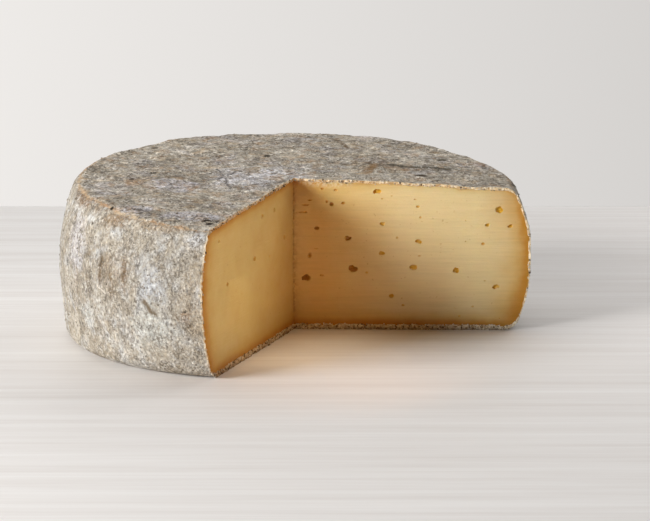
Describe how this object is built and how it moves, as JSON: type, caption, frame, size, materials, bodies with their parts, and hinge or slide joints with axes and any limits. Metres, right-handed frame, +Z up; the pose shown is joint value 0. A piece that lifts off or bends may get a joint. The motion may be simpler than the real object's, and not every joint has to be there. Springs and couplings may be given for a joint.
{
  "type": "tomme cheese",
  "caption": "Low round wheel of semi-hard cheese with a rough grey rind and a wedge cut out of it, which shows the pale paste and its small eyes.",
  "frame": {"origin": "bottom centre of the bounding box, on the surface that the wheel rests on", "axes": "+Z up, out of the top face; the open corner of the cut looks towards -Y and +X"},
  "size_m": [0.2118, 0.202, 0.0759],
  "materials": {
    "rind": "dry, matte, mottled grey and cream natural rind",
    "paste": "smooth satin ivory cut paste, amber under the rind"
  },
  "bodies": {
    "root": {"tomme_wheel": "rind"}
  },
  "joints": []
}
